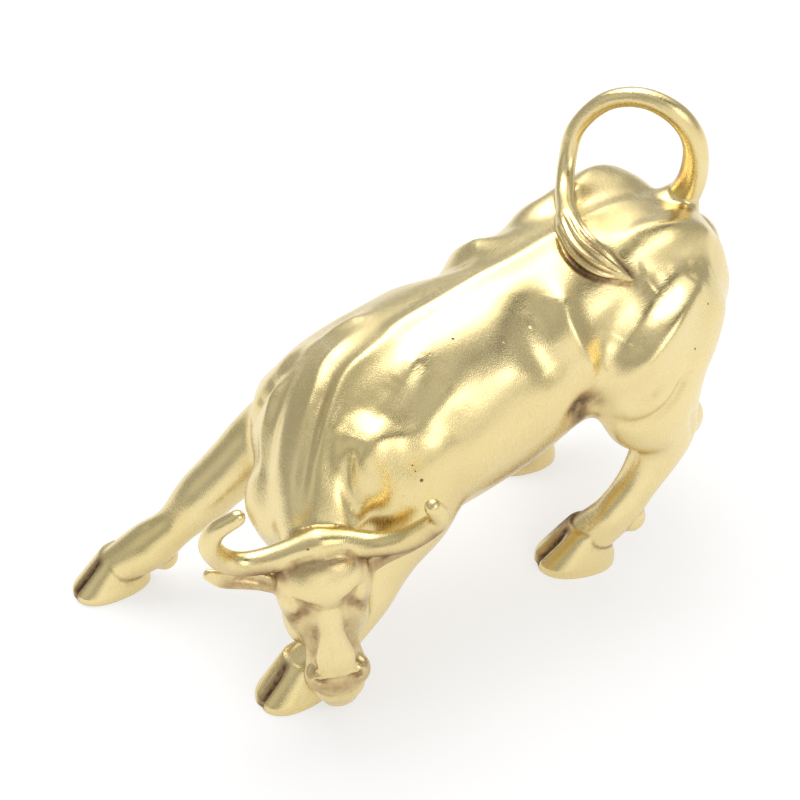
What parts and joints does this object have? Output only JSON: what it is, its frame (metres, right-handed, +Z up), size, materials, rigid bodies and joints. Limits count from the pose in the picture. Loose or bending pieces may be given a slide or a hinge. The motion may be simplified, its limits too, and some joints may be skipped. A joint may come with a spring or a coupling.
{
  "type": "bull sculpture",
  "caption": "Cast polished brass figurine of a charging bull, head lowered and turned, forelegs braced, tail looped over the croup.",
  "frame": {"origin": "middle of the bounding box's underside, on the surface the hooves stand on", "axes": "+Z up; +Y from the head towards the tail, along the body's length, so the bull faces -Y; +X to the bull's left"},
  "size_m": [0.1156, 0.2048, 0.1424],
  "materials": {
    "brass": "satin-polished cast brass with brown patina left in the recesses, brush scratches and small casting pits"
  },
  "bodies": {
    "root": {"bull": "brass"}
  },
  "joints": []
}
